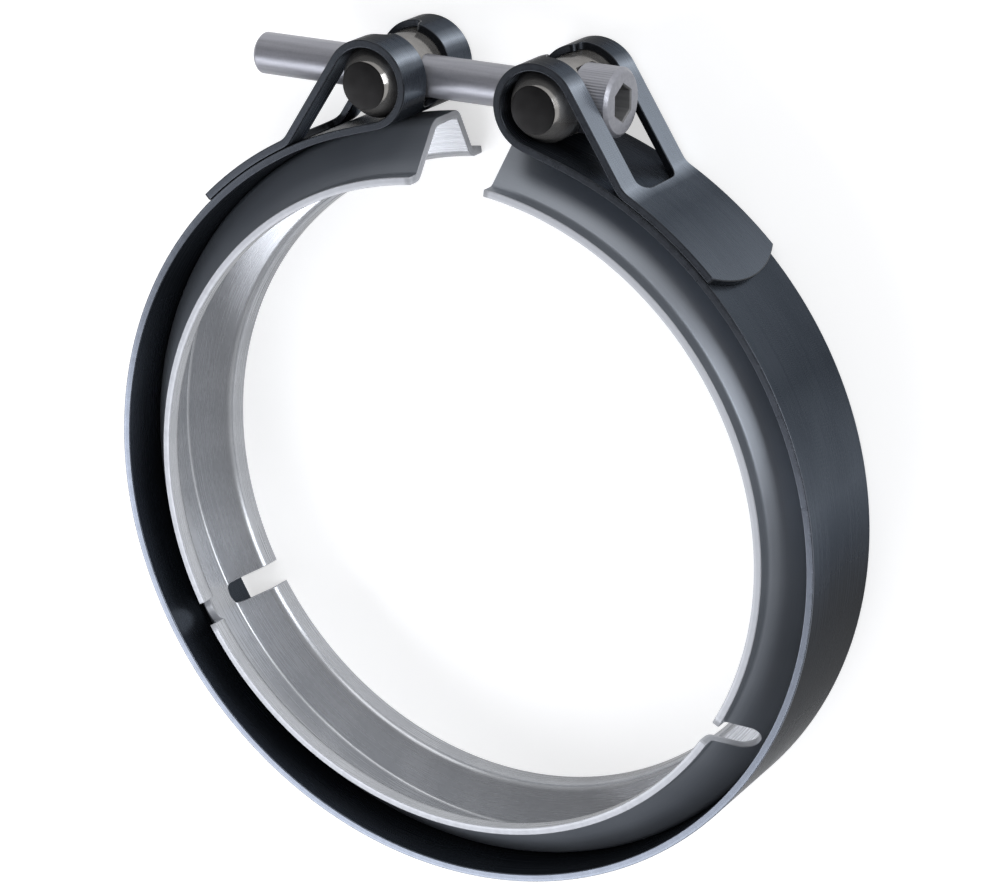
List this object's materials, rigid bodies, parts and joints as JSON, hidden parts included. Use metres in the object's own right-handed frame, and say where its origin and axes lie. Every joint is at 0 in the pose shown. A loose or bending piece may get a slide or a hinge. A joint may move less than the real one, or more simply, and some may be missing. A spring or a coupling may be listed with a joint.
{
  "type": "v-band clamp",
  "caption": "V-band clamp: a band looped round two trunnions with a V-profile channel inside, drawn closed round a pair of pipe flanges by a socket head screw.",
  "frame": {"origin": "on the clamp's axis, at the middle of the band's width", "axes": "+Z is the clamp's axis towards its steep-walled front, +Y points from the axis to the opening and the screw, +X is the side of the screw's head"},
  "size_m": [0.152, 0.1659, 0.0264],
  "materials": {
    "band_steel": "bright rolled strip",
    "channel_steel": "satin pressed sheet",
    "turned_steel": "polished turned bar",
    "screw_steel": "satin plated"
  },
  "bodies": {
    "ring": {"band": "band_steel", "channel": "channel_steel"},
    "nut_trunnion": {"tapped_trunnion": "turned_steel"},
    "head_trunnion": {"plain_trunnion": "turned_steel"},
    "screw": {"cap_screw": "screw_steel"}
  },
  "joints": [
    {"name": "nut_trunnion_turn", "type": "hinge", "parent": "ring", "child": "nut_trunnion", "pos_m": [-0.0179, 0.08138, 0], "axis": [0, 0, 1], "range_deg": [-0.4, 0.4]},
    {"name": "head_trunnion_turn", "type": "hinge", "parent": "ring", "child": "head_trunnion", "pos_m": [0.0179, 0.08138, 0], "axis": [0, 0, 1], "range_deg": [-0.4, 0.4]},
    {"name": "screw_travel", "type": "slide", "parent": "nut_trunnion", "child": "screw", "axis": [1, 0, 0], "range_m": [0, 0.0375]}
  ]
}
